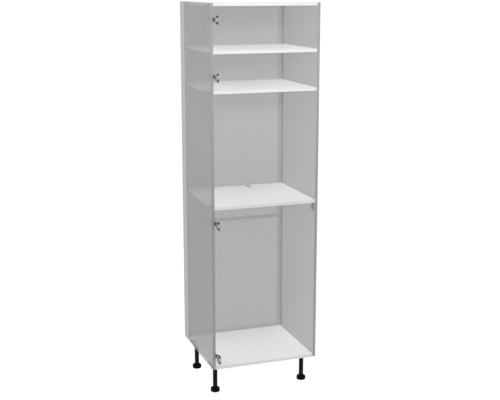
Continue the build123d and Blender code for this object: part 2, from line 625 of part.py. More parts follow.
with BuildPart() as hinge_arms:
    for height in HINGE_HEIGHTS:
        z = BASE + height
        for level in (ARM_HALF_TALL, -CHEEK_INNER):
            with BuildSketch(hinge_plane(height, level)):
                with Locations(OUTER_PIVOT, INNER_PIVOT):
                    Circle(ARM_BOSS_R)
                with Locations(((CHEEK_LOW + ARM_WEB) / 2, -ARM_WEB_FRONT)):
                    Rectangle(ARM_CHEEK, ARM_NECK)
                make_hull()
                rear_length = ARM_REAR - ARM_WEB_FRONT
                with Locations(((CHEEK_LOW + ARM_WEB) / 2, -ARM_WEB_FRONT - rear_length / 2)):
                    Rectangle(ARM_CHEEK, rear_length)
            extrude(amount=ARM_SHEET)
        box_between(
            (-INNER_HALF + ARM_WEB - ARM_SHEET, FRONT + ARM_WEB_FRONT, z - ARM_HALF_TALL),
            (-INNER_HALF + ARM_WEB, FRONT + ARM_REAR, z + ARM_HALF_TALL),
        )
        for spot in (OUTER_PIVOT, INNER_PIVOT):
            pin_cylinder(spot, height, PIN_HOLE_R, 2 * ARM_HALF_TALL, Mode.SUBTRACT)
        for y in ARM_SCREW_ROWS:
            with Locations(Location((-INNER_HALF + ARM_WEB, y, z), (0, 90, 0))):
                Cylinder(ARM_SCREW_R + BORE_PLAY, 4 * ARM_SHEET, mode=Mode.SUBTRACT)
save(hinge_arms, "hinge_arms")

with BuildPart() as hinge_arm_screws:
    for height in HINGE_HEIGHTS:
        for y in ARM_SCREW_ROWS:
            screw_at((-INNER_HALF + ARM_WEB, y, BASE + height), (-1, 0, 0), ARM_SCREW_LENGTH, ARM_SCREW_R)
save(hinge_arm_screws, "hinge_arm_screws")

with BuildPart() as hinge_arm_pins:
    for height in HINGE_HEIGHTS:
        pin_cylinder(INNER_PIVOT, height, HINGE_PIN_R, ARM_HALF_TALL)
        pin_cylinder(OUTER_PIVOT, height, HINGE_PIN_R, ARM_HALF_TALL)
        pin_cylinder(OUTER_PIVOT, height, 2 * HINGE_PIN_R, OUTER_RIVET_START, Mode.SUBTRACT)
save(hinge_arm_pins, "hinge_arm_pins")

for number, height in enumerate(HINGE_HEIGHTS, start=1):
    cup_plane = Plane(
        origin=(-INNER_HALF + CUP_CENTRE, FRONT - DOOR_GAP, BASE + height), x_dir=(1, 0, 0), z_dir=(0, -1, 0)
    )
    with BuildPart() as closed_cup:
        with BuildSketch(cup_plane):
            Circle(CUP_R)
        extrude(amount=CUP_DEPTH)
        fillet(closed_cup.edges().filter_by(GeomType.CIRCLE).group_by(Axis.Y)[0], CUP_WALL)
        with BuildSketch(cup_plane.offset(-CUP_FLANGE)):
            with Locations((CUP_FLANGE_SHIFT, 0)):
                Ellipse(CUP_FLANGE_WIDE / 2, CUP_FLANGE_TALL / 2)
            Circle(CUP_R + CUP_FLANGE)
            with Locations(*CUP_SCREW_SPOTS):
                Circle(CUP_SCREW_R, mode=Mode.SUBTRACT)
        extrude(amount=CUP_FLANGE)
        with BuildSketch(cup_plane.offset(-CUP_FLANGE)):
            Circle(CUP_R - CUP_WALL)
        extrude(amount=CUP_FLANGE + CUP_DEPTH - CUP_WALL, mode=Mode.SUBTRACT)
        pin_cylinder(OUTER_END, height, PIN_HOLE_R, CUP_R, Mode.SUBTRACT)
        notch_deep = CUP_FLANGE + CUP_NOTCH_DEPTH
        notch_x = -INNER_HALF + CUP_CENTRE - CUP_R
        notch_y = FRONT - DOOR_GAP + CUP_FLANGE - notch_deep / 2
        with Locations((notch_x, notch_y, BASE + height)):
            Box(CUP_NOTCH_WIDE, notch_deep, 2 * CUP_NOTCH_HALF_TALL, mode=Mode.SUBTRACT)
    with BuildPart() as hinge_cup:
        add(turn_about(closed_cup.part, POLE, HINGE_OPEN))
    save(hinge_cup, f"hinge_cup_{number}")

    with BuildPart() as closed_sleeves:
        with BuildSketch(cup_plane):
            with Locations(*CUP_SCREW_SPOTS):
                Circle(SLEEVE_R)
                Circle(CUP_SCREW_R, mode=Mode.SUBTRACT)
        extrude(amount=SLEEVE_LENGTH)
    with BuildPart() as hinge_cup_sleeves:
        add(turn_about(closed_sleeves.part, POLE, HINGE_OPEN))
    save(hinge_cup_sleeves, f"hinge_cup_sleeves_{number}")

    with BuildPart() as closed_pin:
        chord_half = (CUP_R**2 - (OUTER_END[0] - CUP_CENTRE) ** 2) ** 0.5
        pin_cylinder(OUTER_END, height, HINGE_PIN_R, chord_half - CUP_WALL / 2)
    with BuildPart() as hinge_cup_pin:
        add(turn_about(closed_pin.part, POLE, HINGE_OPEN))
    save(hinge_cup_pin, f"hinge_cup_pin_{number}")

    with BuildPart() as closed_outer_link:
        for level in (OUTER_LINK_LAYER[1], -OUTER_LINK_LAYER[0]):
            with BuildSketch(hinge_plane(height, level)):
                link_outline(OUTER_PIVOT, OUTER_END)
                with Locations(OUTER_PIVOT, OUTER_END):
                    Circle(PIN_HOLE_R, mode=Mode.SUBTRACT)
            extrude(amount=OUTER_LINK_LAYER[1] - OUTER_LINK_LAYER[0])
    with BuildPart() as hinge_outer_link:
        add(turn_about(closed_outer_link.part, OUTER_PIVOT, OUTER_TURN))
    save(hinge_outer_link, f"hinge_outer_link_{number}")

    with BuildPart() as closed_inner_link:
        with BuildSketch(hinge_plane(height, INNER_LINK_HALF_TALL)):
            link_outline(INNER_PIVOT, INNER_END, INNER_SHORTFALL)
            with Locations(INNER_PIVOT):
                Circle(PIN_HOLE_R, mode=Mode.SUBTRACT)
        extrude(amount=2 * INNER_LINK_HALF_TALL)
    with BuildPart() as hinge_inner_link:
        add(turn_about(closed_inner_link.part, INNER_PIVOT, INNER_TURN))
    save(hinge_inner_link, f"hinge_inner_link_{number}")
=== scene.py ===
"""Looks of a tall kitchen cabinet for a built-in oven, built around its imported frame."""

from __future__ import annotations

import json
import logging
import math
from dataclasses import dataclass, field
from enum import Enum

import bmesh
import bpy
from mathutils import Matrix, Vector

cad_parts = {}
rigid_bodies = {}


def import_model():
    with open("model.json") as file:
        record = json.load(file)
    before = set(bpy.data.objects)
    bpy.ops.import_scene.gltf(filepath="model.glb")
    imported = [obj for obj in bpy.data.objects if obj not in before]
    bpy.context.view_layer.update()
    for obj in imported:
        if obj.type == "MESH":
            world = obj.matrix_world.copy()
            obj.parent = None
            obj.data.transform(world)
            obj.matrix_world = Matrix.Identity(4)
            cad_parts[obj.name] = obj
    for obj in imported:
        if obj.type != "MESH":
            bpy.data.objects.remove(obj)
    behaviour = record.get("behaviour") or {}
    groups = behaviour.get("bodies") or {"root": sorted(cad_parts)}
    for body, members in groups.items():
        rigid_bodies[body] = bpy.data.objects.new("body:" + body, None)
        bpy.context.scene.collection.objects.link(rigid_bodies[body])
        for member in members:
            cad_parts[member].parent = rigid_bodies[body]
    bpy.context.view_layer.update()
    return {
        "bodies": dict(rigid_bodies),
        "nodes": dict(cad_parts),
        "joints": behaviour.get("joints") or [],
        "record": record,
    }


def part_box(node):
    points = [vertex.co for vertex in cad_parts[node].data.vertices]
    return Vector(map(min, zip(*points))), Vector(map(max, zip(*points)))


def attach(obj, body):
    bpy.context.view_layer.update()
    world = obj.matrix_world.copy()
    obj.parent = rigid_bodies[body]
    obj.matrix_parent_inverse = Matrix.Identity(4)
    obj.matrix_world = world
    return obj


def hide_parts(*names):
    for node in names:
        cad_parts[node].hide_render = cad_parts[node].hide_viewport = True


LOG = logging.getLogger("tall_cabinet")
MM = 0.001
# How near two points are one, and how near a point lies on a solid's end, in metres
SAME_SPOT = 1e-6
END_SLACK = 10 * SAME_SPOT
SHARP_ANGLE = math.radians(35)
QUARTER_TURN_DEG = 90
ROUND_STEP_DEG = 15
THREAD_CREST_SIDES = 3
# A cylinder of unit height is made about its middle, and this stands it on its foot
HALF_HEIGHT_UP = (0.0, 0.0, 0.5)
CARCASS_BODY = "carcass"
CLOUD_DETAIL = 2.0
CLOUD_ROUGHNESS = 0.5
RELIEF_STRENGTH = 0.5
# A mix node's sockets for two colours and their mixture
FIRST_COLOUR, SECOND_COLOUR, MIXED_COLOUR = 6, 7, 2

Outline = list[tuple[float, float]]
Socket = bpy.types.NodeSocket


class Axis(Enum):
    """The direction in which a finish's lines or grain run."""

    X = (1.0, 0.0, 0.0)
    Y = (0.0, 1.0, 0.0)
    Z = (0.0, 0.0, 1.0)


class Texture(Enum):
    """The fine relief that a way of making leaves: its pattern's node, settings and output."""

    PEARL = ("ShaderNodeTexNoise", {"Detail": 2.0, "Roughness": 0.5}, "Fac")
    LINES = ("ShaderNodeTexNoise", {"Detail": 4.0, "Roughness": 0.65}, "Fac")
    GRIT = ("ShaderNodeTexVoronoi", {"feature": "SMOOTH_F1", "Smoothness": 0.6}, "Distance")


def linear(code: str) -> tuple[float, float, float, float]:
    """Turn an sRGB hex colour to linear.

    Args:
        code: six hex digits with a leading hash.

    Returns:
        Red, green, blue and an alpha of one.
    """
    levels = [int(code[i : i + 2], 16) / 255 for i in (1, 3, 5)]
    red, green, blue = [v / 12.92 if v <= 0.04045 else ((v + 0.055) / 1.055) ** 2.4 for v in levels]
    return red, green, blue, 1.0


def add_node(
    tree: bpy.types.NodeTree,
    kind: str,
    settings: dict | None = None,
    links: dict | None = None,
) -> bpy.types.Node:
    """Add a node with its settings and links.

    Args:
        tree: the tree it goes into.
        kind: the node's type name.
        settings: attribute values, or input values where the key is an input's name or number.
        links: input name or number to the output socket that feeds it, or to a list of them.

    Returns:
        The new node.
    """
    node = tree.nodes.new(kind)
    for key, value in (settings or {}).items():
        if isinstance(key, str) and hasattr(node, key):
            setattr(node, key, value)
        else:
            node.inputs[key].default_value = value
    for key, sockets in (links or {}).items():
        for socket in sockets if isinstance(sockets, list) else [sockets]:
            tree.links.new(socket, node.inputs[key])
    return node


@dataclass(frozen=True)
class Finish:
    """Two close tones in soft clouds, under a fine relief that also varies the gloss.

    Colours are sRGB hex, sizes are millimetres, and the rest is as the shader takes it.
    """

    name: str
    tone: str
    other_tone: str
    cloud_mm: float
    texture: Texture
    grain_mm: float
    rough_low: float
    rough_high: float
    relief_mm: float
    metallic: float = 0.0
    ior: float = 1.5
    alpha: float = 1.0
    stretch: float = 1.0
    along: Axis = Axis.Z

    def build(self) -> bpy.types.Material:
        """Make the material.

        Returns:
            A node material that reads Object coordinates only.
        """
        material = bpy.data.materials.new(self.name)
        material.use_nodes = True
        tree = material.node_tree
        tree.nodes.clear()
        place = add_node(tree, "ShaderNodeTexCoord")
        squeeze = Vector((1.0, 1.0, 1.0)) - Vector(self.along.value) * (1 - 1 / self.stretch)
        mapped = add_node(
            tree, "ShaderNodeMapping", {"Scale": squeeze}, {"Vector": place.outputs["Object"]}
        )
        clouds = add_node(
            tree,
            "ShaderNodeTexNoise",
            {
                "Scale": 1 / (self.cloud_mm * MM),
                "Detail": CLOUD_DETAIL,
                "Roughness": CLOUD_ROUGHNESS,
            },
            {"Vector": mapped.outputs[0]},
        )
        tones = add_node(
            tree,
            "ShaderNodeMix",
            {
                "data_type": "RGBA",
                FIRST_COLOUR: linear(self.tone),
                SECOND_COLOUR: linear(self.other_tone),
            },
            {0: clouds.outputs["Fac"]},
        )
        kind, settings, output = self.texture.value
        grain = add_node(
            tree,
            kind,
            {"Scale": 1 / (self.grain_mm * MM), **settings},
            {"Vector": mapped.outputs[0]},
        )
        rough = add_node(
            tree,
            "ShaderNodeMapRange",
            {"To Min": self.rough_low, "To Max": self.rough_high},
            {"Value": grain.outputs[output]},
        )
        relief = add_node(
            tree,
            "ShaderNodeBump",
            {"Strength": RELIEF_STRENGTH, "Distance": self.relief_mm * MM},
            {"Height": grain.outputs[output]},
        )
        surface = add_node(
            tree,
            "ShaderNodeBsdfPrincipled",
            {"Metallic": self.metallic, "IOR": self.ior, "Alpha": self.alpha},
            {
                "Base Color": tones.outputs[MIXED_COLOUR],
                "Roughness": rough.outputs[0],
                "Normal": relief.outputs[0],
            },
        )
        add_node(tree, "ShaderNodeOutputMaterial", {}, {"Surface": surface.outputs[0]})
        return material


# How much each face of a see-through board hides of what is behind it
SIDE_ALPHA = 0.54
BAND_ALPHA = 0.6
BACK_ALPHA = 0.66

# Melamine-faced chipboard, drawn see-through: an even grey film on each face, with the faint pearl
# of the plate it was pressed on. The real pearl is about 1.5 mm across, which is too fine to show.
GHOST_BOARD = Finish(
    "ghost_melamine_board", "#9E9E9E", "#9B9B9B",
    cloud_mm=60.0, texture=Texture.PEARL, grain_mm=12.0,
    rough_low=0.5, rough_high=0.62, relief_mm=0.005,
    ior=1.3, alpha=SIDE_ALPHA,
)
# Faced hardboard, drawn see-through: a thicker grey film than the boards', and a shade flatter,
# because the sheet isn't pressed as hard. Its pearl is drawn coarser too. Its tone is set darker
# than the boards' as painted shade, to offset the shadowless front fill that lights it, so from
# behind, where the fill doesn't reach, it shows darker.
GHOST_BACK = Finish(
    "ghost_hardboard_back", "#8B8B8B", "#888888",
    cloud_mm=60.0, texture=Texture.PEARL, grain_mm=12.0,
    rough_low=0.55, rough_high=0.68, relief_mm=0.005,
    ior=1.3, alpha=BACK_ALPHA,
)
# ABS edge band on the sides, drawn see-through: extruded, so its fine lines run up the edge.
GHOST_BAND = Finish(
    "ghost_abs_edge_band", "#999999", "#969696",
    cloud_mm=40.0, texture=Texture.LINES, grain_mm=0.8,
    rough_low=0.45, rough_high=0.55, relief_mm=0.01,
    ior=1.3, alpha=BAND_ALPHA, stretch=12.0,
)
# White melamine, pressed on a pearl plate: a soft sheen and no figure. The pearl is drawn coarser, as
# on the see-through boards.
WHITE_BOARD = Finish(
    "white_melamine_board", "#F4F4F2", "#F1F1EF",
    cloud_mm=80.0, texture=Texture.PEARL, grain_mm=12.0,
    rough_low=0.4, rough_high=0.55, relief_mm=0.01,
)
# ABS edge band, extruded and buffed: lines along its length. Its tone is set a shade greyer than the
# board as painted shade, to offset the stronger light on the front-facing edges.
WHITE_BAND = Finish(
    "white_abs_edge_band", "#DCDCDA", "#D9D9D7",
    cloud_mm=40.0, texture=Texture.LINES, grain_mm=0.8,
    rough_low=0.3, rough_high=0.42, relief_mm=0.01,
    stretch=12.0, along=Axis.X,
)
# PVC joint strip, extruded: even grey with draw lines along it and a dull sheen.
GREY_STRIP = Finish(
    "grey_pvc_joint_strip", "#AEAEAE", "#AAAAAA",
    cloud_mm=40.0, texture=Texture.LINES, grain_mm=0.8,
    rough_low=0.4, rough_high=0.5, relief_mm=0.01,
    stretch=12.0, along=Axis.X,
)
# Polypropylene clip, injection-moulded: pale grey, with the mould's soft spark-eroded grit.
PALE_CLIP = Finish(
    "pale_polypropylene_clip", "#CDCDCB", "#C8C8C6",
    cloud_mm=15.0, texture=Texture.GRIT, grain_mm=0.6,
    rough_low=0.45, rough_high=0.6, relief_mm=0.03,
)
# Powder-coated steel sheet: mid grey, with the coat's fine orange peel.
COATED_SHEET = Finish(
    "powder_coated_steel_sheet", "#A3A3A3", "#9B9B9B",
    cloud_mm=12.0, texture=Texture.PEARL, grain_mm=0.9,
    rough_low=0.42, rough_high=0.58, relief_mm=0.05,
)
# Zinc-plated steel: cold grey with a broken, slightly milky shine.
ZINC_SCREW = Finish(
    "zinc_plated_steel", "#B9BABC", "#A9AAAD",
    cloud_mm=3.0, texture=Texture.PEARL, grain_mm=0.3,
    rough_low=0.25, rough_high=0.42, relief_mm=0.01,
    metallic=1.0,
)
# Die-cast zinc: duller and darker than plated steel, with the casting's fine grit.
CAM_ZINC = Finish(
    "die_cast_zinc", "#A6A6A8", "#98989A",
    cloud_mm=4.0, texture=Texture.GRIT, grain_mm=0.4,
    rough_low=0.4, rough_high=0.6, relief_mm=0.03,
    metallic=1.0,
)
# Beech, turned and fluted: pale tan, with pores drawn out along the dowel.
BEECH = Finish(
    "turned_beech", "#CFC4B2", "#C3B7A3",
    cloud_mm=6.0, texture=Texture.LINES, grain_mm=0.6,
    rough_low=0.5, rough_high=0.7, relief_mm=0.05,
    stretch=8.0, along=Axis.X,
)
# Nickel-plated steel pin: warm bright grey, almost a mirror.
NICKEL_PIN = Finish(
    "nickel_plated_pin", "#BDBCB8", "#B0AFAB",
    cloud_mm=3.0, texture=Texture.PEARL, grain_mm=0.3,
    rough_low=0.2, rough_high=0.35, relief_mm=0.01,
    metallic=1.0,
)
# Black ABS tube and socket, injection-moulded: near black with a satin sheen from the mould's grit.
# The index is below the real one, because white light all round would turn it grey.
BLACK_POST = Finish(
    "black_abs_leg", "#0C0C0C", "#0F0F0F",
    cloud_mm=8.0, texture=Texture.GRIT, grain_mm=0.5,
    rough_low=0.38, rough_high=0.52, relief_mm=0.03,
    ior=1.2,
)
# Black polypropylene foot: darker and flatter than the tube, so its index is lower still.
BLACK_FOOT = Finish(
    "black_polypropylene_foot", "#080808", "#0A0A0A",
    cloud_mm=8.0, texture=Texture.GRIT, grain_mm=0.5,
    rough_low=0.45, rough_high=0.6, relief_mm=0.03,
    ior=1.14,
)
# Nickel-plated steel, pressed and drawn, with fine lines along the arm. Its deep grey is a painted
# reflection: it stands in for dark surroundings, which white light all round can't show in the metal.
HINGE_STEEL = Finish(
    "dark_nickel_hinge_steel", "#47474A", "#3C3C3E",
    cloud_mm=5.0, texture=Texture.LINES, grain_mm=0.35,
    rough_low=0.28, rough_high=0.42, relief_mm=0.01,
    metallic=1.0, stretch=6.0, along=Axis.Y,
)
# Bright-nickel-plated steel cup, deep-drawn: light grey with faint rings of the draw.
CUP_STEEL = Finish(
    "bright_nickel_cup_steel", "#B6B6B6", "#ACACAC",
    cloud_mm=6.0, texture=Texture.LINES, grain_mm=0.35,
    rough_low=0.25, rough_high=0.4, relief_mm=0.01,
    metallic=1.0, stretch=4.0, along=Axis.X,
)
# Dark nylon sleeve, injection-moulded: charcoal, dull between its ribs.
NYLON_SLEEVE = Finish(
    "dark_nylon_sleeve", "#2A2A2B", "#242425",
    cloud_mm=4.0, texture=Texture.GRIT, grain_mm=0.4,
    rough_low=0.5, rough_high=0.65, relief_mm=0.02,
    ior=1.45,
)

SLOT_FINISHES = {
    "ghost_board": GHOST_BOARD,
    "ghost_back": GHOST_BACK,
    "white_board": WHITE_BOARD,
    "edge_band": WHITE_BAND,
    "side_edge_band": GHOST_BAND,
    "strip_plastic": GREY_STRIP,
    "clip_plastic": PALE_CLIP,
    "plate_metal": COATED_SHEET,
    "screw_steel": ZINC_SCREW,
    "cam_zinc": CAM_ZINC,
    "dowel_wood": BEECH,
    "pin_steel": NICKEL_PIN,
    "leg_plastic": BLACK_POST,
    "foot_plastic": BLACK_FOOT,
    "hinge_steel": HINGE_STEEL,
    "cup_steel": CUP_STEEL,
    "sleeve_plastic": NYLON_SLEEVE,
}


class FinishShelf:
    """Makes each finish once and hands it out by the record's slot name."""

    def __init__(self) -> None:
        """Start with no material made."""
        self.made: dict[str, bpy.types.Material] = {}

    def take(self, slot: str) -> bpy.types.Material:
        """Give the material for a slot.

        Args:
            slot: a material slot's name in the record.

        Returns:
            The slot's material, made on first use.
        """
        if slot not in self.made:
            self.made[slot] = SLOT_FINISHES[slot].build()
        return self.made[slot]


@dataclass(frozen=True)
class Round:
    """A round solid of the frame: its foot, the direction from foot to head, and its length in metres."""

    foot: Vector
    up: Vector
    length: float


def loose_shells(node: bpy.types.Object) -> list[list[Vector]]:
    """Part a node's mesh into its separate solids.

    Args:
        node: an object of the frame, whose mesh is only read.

    Returns:
        The corner points of each solid, in the mesh's own order.
    """
    copy = bmesh.new()
    copy.from_mesh(node.data)
    bmesh.ops.remove_doubles(copy, verts=copy.verts, dist=SAME_SPOT)
    copy.verts.index_update()
    shells, seen = [], set()
    for start in copy.verts:
        if start.index in seen:
            continue
        seen.add(start.index)
        waiting, shell = [start], []
        while waiting:
            corner = waiting.pop()
            shell.append(corner.co.copy())
            for edge in corner.link_edges:
                other = edge.other_vert(corner)
                if other.index not in seen:
                    seen.add(other.index)
                    waiting.append(other)
        shells.append(shell)
    copy.free()
    return shells


def end_width(shell: list[Vector], end: Vector, long: int) -> float:
    """Measure one end of a round solid.

    Args:
        shell: the solid's corner points.
        end: the middle of that end.
        long: the number of the axis that the solid lies along.

    Returns:
        The largest distance from the axis among the end's points.
    """
    near = [p - end for p in shell if abs(p[long] - end[long]) < END_SLACK]
    return max(gap.length for gap in near)


def rounds_of(node: bpy.types.Object) -> list[Round]:
    """Find where each round solid of a node lies.

    Args:
        node: an object of the frame made of screws, dowels or sleeves.

    Returns:
        One row for each solid. The wider end is its head, and of two equal ends the further one.
    """
    found = []
    for shell in loose_shells(node):
        low = Vector([min(p[k] for p in shell) for k in range(3)])
        high = Vector([max(p[k] for p in shell) for k in range(3)])
        size = high - low
        long = max(range(3), key=lambda k: size[k])
        along = Vector((0.0, 0.0, 0.0))
        along[long] = size[long]
        near_end = (low + high - along) / 2
        far_end = near_end + along
        if end_width(shell, far_end, long) >= end_width(shell, near_end, long) - SAME_SPOT:
            found.append(Round(near_end, along.normalized(), along.length))
        else:
            found.append(Round(far_end, -along.normalized(), along.length))
    return found


def rounded_outline(radius: float, height: float, low_round: float, high_round: float) -> Outline:
    """Draw the side of a disc with a quarter round at each rim.

    Args:
        radius: the disc's radius.
        height: its height.
        low_round: the lower rim's rounding.
        high_round: the upper rim's rounding.

    Returns:
        Shares of the radius against shares of the height, foot first.
    """
    turns = [math.radians(angle) for angle in range(0, QUARTER_TURN_DEG + 1, ROUND_STEP_DEG)]
    low, high = [
        [(size * (1 - math.cos(t)) / height, 1 - size * (1 - math.sin(t)) / radius) for t in turns]
        for size in (low_round, high_round)
    ]
    return low + [(1 - rise, width) for rise, width in reversed(high)]


def draw_line(curve: bpy.types.CurveMapping, outline: Outline) -> None:
    """Put an outline on a curve that a node reads.

    Args:
        curve: the node's curve.
        outline: the line's points, joined by straight runs.
    """
    points = curve.curves[0].points
    points[0].location = outline[0]
    points[1].location = outline[-1]
    for spot in outline[1:-1]:
        points.new(*spot)
    for point in points:
        point.handle_type = "VECTOR"
    curve.update()


@dataclass(frozen=True)
class Profile:
    """The side of a turned round and how finely it is divided.

    The outline gives shares of the radius against shares of the height, foot first.
    """

    outline: Outline
    sides: int
    rings: int


@dataclass(frozen=True)
class Flutes:
    """Flutes pressed into a turned round, with shares of their depth against shares of the height."""

    count: Socket
    depth: Socket
    reach: Outline


class ShapeTree:
    """A geometry-nodes tree that makes one shape from named sizes and sets it at each of its points."""

    def __init__(self, name: str, sizes: list[str]) -> None:
        """Start the tree.

        Args:
            name: the tree's name.
            sizes: the names of its inputs for sizes.
        """
        self.tree = bpy.data.node_groups.new(name, "GeometryNodeTree")
        face = self.tree.interface
        face.new_socket("Places", in_out="INPUT", socket_type="NodeSocketGeometry")
        face.new_socket("Material", in_out="INPUT", socket_type="NodeSocketMaterial")
        for size in sizes:
            face.new_socket(size, in_out="INPUT", socket_type="NodeSocketFloat")
        face.new_socket("Shape", in_out="OUTPUT", socket_type="NodeSocketGeometry")
        self.given = self.tree.nodes.new("NodeGroupInput")

    def size(self, name: str) -> Socket:
        """The socket of a named size."""
        return self.given.outputs[name]

    def turned(
        self, radius: Socket, height: Socket, profile: Profile, flutes: Flutes | None = None
    ) -> Socket:
        """Make a turned round that stands on its origin.

        Args:
            radius: its full radius.
            height: its height.
            profile: its side.
            flutes: what is pressed into it, if anything.

        Returns:
            The mesh's socket.
        """
        blank = add_node(
            self.tree,
            "GeometryNodeMeshCylinder",
            {"Vertices": profile.sides, "Side Segments": profile.rings, "Radius": 1.0, "Depth": 1.0},
        )
        stood = add_node(
            self.tree,
            "GeometryNodeTransform",
            {"Translation": HALF_HEIGHT_UP},
            {0: blank.outputs["Mesh"]},
        )
        place = add_node(self.tree, "GeometryNodeInputPosition")
        split = add_node(self.tree, "ShaderNodeSeparateXYZ", {}, {0: place.outputs[0]})
        side = add_node(self.tree, "ShaderNodeFloatCurve", {}, {"Value": split.outputs["Z"]})
        draw_line(side.mapping, profile.outline)
        girth = add_node(
            self.tree, "ShaderNodeMath", {"operation": "MULTIPLY"}, {0: side.outputs[0], 1: radius}
        )
        if flutes:
            girth = self.fluted(girth, split, flutes)
        stretch = add_node(
            self.tree,
            "ShaderNodeCombineXYZ",
            {},
            {"X": girth.outputs[0], "Y": girth.outputs[0], "Z": height},
        )
        shaped = add_node(
            self.tree,
            "ShaderNodeVectorMath",
            {"operation": "MULTIPLY"},
            {0: place.outputs[0], 1: stretch.outputs[0]},
        )
        moved = add_node(
            self.tree,
            "GeometryNodeSetPosition",
            {},
            {0: stood.outputs[0], "Position": shaped.outputs[0]},
        )
        return moved.outputs[0]

    def fluted(self, girth: bpy.types.Node, split: bpy.types.Node, flutes: Flutes) -> bpy.types.Node:
        """Take a round's flutes off its girth.

        Args:
            girth: the node that gives the plain girth.
            split: the node that gives a point's place on the round of unit size.
            flutes: what is pressed in.

        Returns:
            The node that gives the fluted girth.
        """
        angle = add_node(
            self.tree,
            "ShaderNodeMath",
            {"operation": "ARCTAN2"},
            {0: split.outputs["Y"], 1: split.outputs["X"]},
        )
        phase = add_node(
            self.tree, "ShaderNodeMath", {"operation": "MULTIPLY"}, {0: angle.outputs[0], 1: flutes.count}
        )
        wave = add_node(self.tree, "ShaderNodeMath", {"operation": "COSINE"}, {0: phase.outputs[0]})
        # Nought on a crest and minus one at the bottom of a flute
        dip = add_node(
            self.tree,
            "ShaderNodeMath",
            {"operation": "MULTIPLY_ADD", 1: 0.5, 2: -0.5},
            {0: wave.outputs[0]},
        )
        deep = add_node(
            self.tree, "ShaderNodeMath", {"operation": "MULTIPLY"}, {0: dip.outputs[0], 1: flutes.depth}
        )
        reach = add_node(self.tree, "ShaderNodeFloatCurve", {}, {"Value": split.outputs["Z"]})
        draw_line(reach.mapping, flutes.reach)
        return add_node(
            self.tree,
            "ShaderNodeMath",
            {"operation": "MULTIPLY_ADD"},
            {0: deep.outputs[0], 1: reach.outputs[0], 2: girth.outputs[0]},
        )

    def thread(self, radius: Socket, depth: Socket, length: Socket, turns: Socket, points: int) -> Socket:
        """Wind a screw thread that starts on the origin.

        Args:
            radius: from the axis to the thread's middle.
            depth: from the thread's middle to its crest.
            length: how far it climbs.
            turns: how often it goes round.
            points: points in each turn.

        Returns:
            The mesh's socket.
        """
        path = add_node(
            self.tree,
            "GeometryNodeCurveSpiral",
            {"Resolution": points},
            {"Rotations": turns, "Start Radius": radius, "End Radius": radius, "Height": length},
        )
        crest = add_node(
            self.tree,
            "GeometryNodeCurvePrimitiveCircle",
            {"Resolution": THREAD_CREST_SIDES},
            {"Radius": depth},
        )
        wound = add_node(
            self.tree,
            "GeometryNodeCurveToMesh",
            {"Fill Caps": True},
            {"Curve": path.outputs[0], "Profile Curve": crest.outputs[0]},
        )
        return wound.outputs[0]

    def raised(self, shape: Socket, height: Socket) -> Socket:
        """Move a shape up.

        Args:
            shape: what is moved.
            height: how far.

        Returns:
            The moved shape's socket.
        """
        rise = add_node(self.tree, "ShaderNodeCombineXYZ", {}, {"Z": height})
        moved = add_node(
            self.tree, "GeometryNodeTransform", {}, {0: shape, "Translation": rise.outputs[0]}
        )
        return moved.outputs[0]

    def cross_cut(self, head: Socket, span: Socket, width: Socket, depth: Socket, top: Socket) -> Socket:
        """Press a cross recess into a screw's head.

        Args:
            head: the head's mesh.
            span: the cross's length.
            width: the width of its bars.
            depth: twice how deep it goes.
            top: the height of the head's top.

        Returns:
            What is left of the head.
        """
        bars = []
        for across, along in ((span, width), (width, span)):
            size = add_node(self.tree, "ShaderNodeCombineXYZ", {}, {"X": across, "Y": along, "Z": depth})
            bar = add_node(self.tree, "GeometryNodeMeshCube", {}, {"Size": size.outputs[0]})
            bars.append(self.raised(bar.outputs["Mesh"], top))
        return self.cut(head, bars)

    def cut(self, body: Socket, tools: list[Socket]) -> Socket:
        """Take shapes out of a closed body.

        Args:
            body: what is cut.
            tools: the closed shapes that are taken out.

        Returns:
            What is left of the body.
        """
        left = add_node(
            self.tree,
            "GeometryNodeMeshBoolean",
            {"operation": "DIFFERENCE", "solver": "EXACT"},
            {0: body, 1: tools},
        )
        return left.outputs[0]

    def close(self, shapes: list[Socket]) -> None:
        """End the tree: set the shapes at each place, turned its way, as real faces in one material.

        Args:
            shapes: the meshes that make up one piece.
        """
        together = add_node(self.tree, "GeometryNodeJoinGeometry", {}, {0: shapes})
        way = add_node(
            self.tree, "GeometryNodeInputNamedAttribute", {"data_type": "FLOAT_VECTOR", "Name": "up"}
        )
        turn = add_node(
            self.tree, "FunctionNodeAlignRotationToVector", {"axis": "Z"}, {"Vector": way.outputs[0]}
        )
        spread = add_node(
            self.tree,
            "GeometryNodeInstanceOnPoints",
            {},
            {
                "Points": self.given.outputs["Places"],
                "Instance": together.outputs[0],
                "Rotation": turn.outputs[0],
            },
        )
        real = add_node(self.tree, "GeometryNodeRealizeInstances", {}, {0: spread.outputs[0]})
        dressed = add_node(
            self.tree,
            "GeometryNodeSetMaterial",
            {},
            {0: real.outputs[0], "Material": self.given.outputs["Material"]},
        )
        add_node(self.tree, "NodeGroupOutput", {}, {0: dressed.outputs[0]})

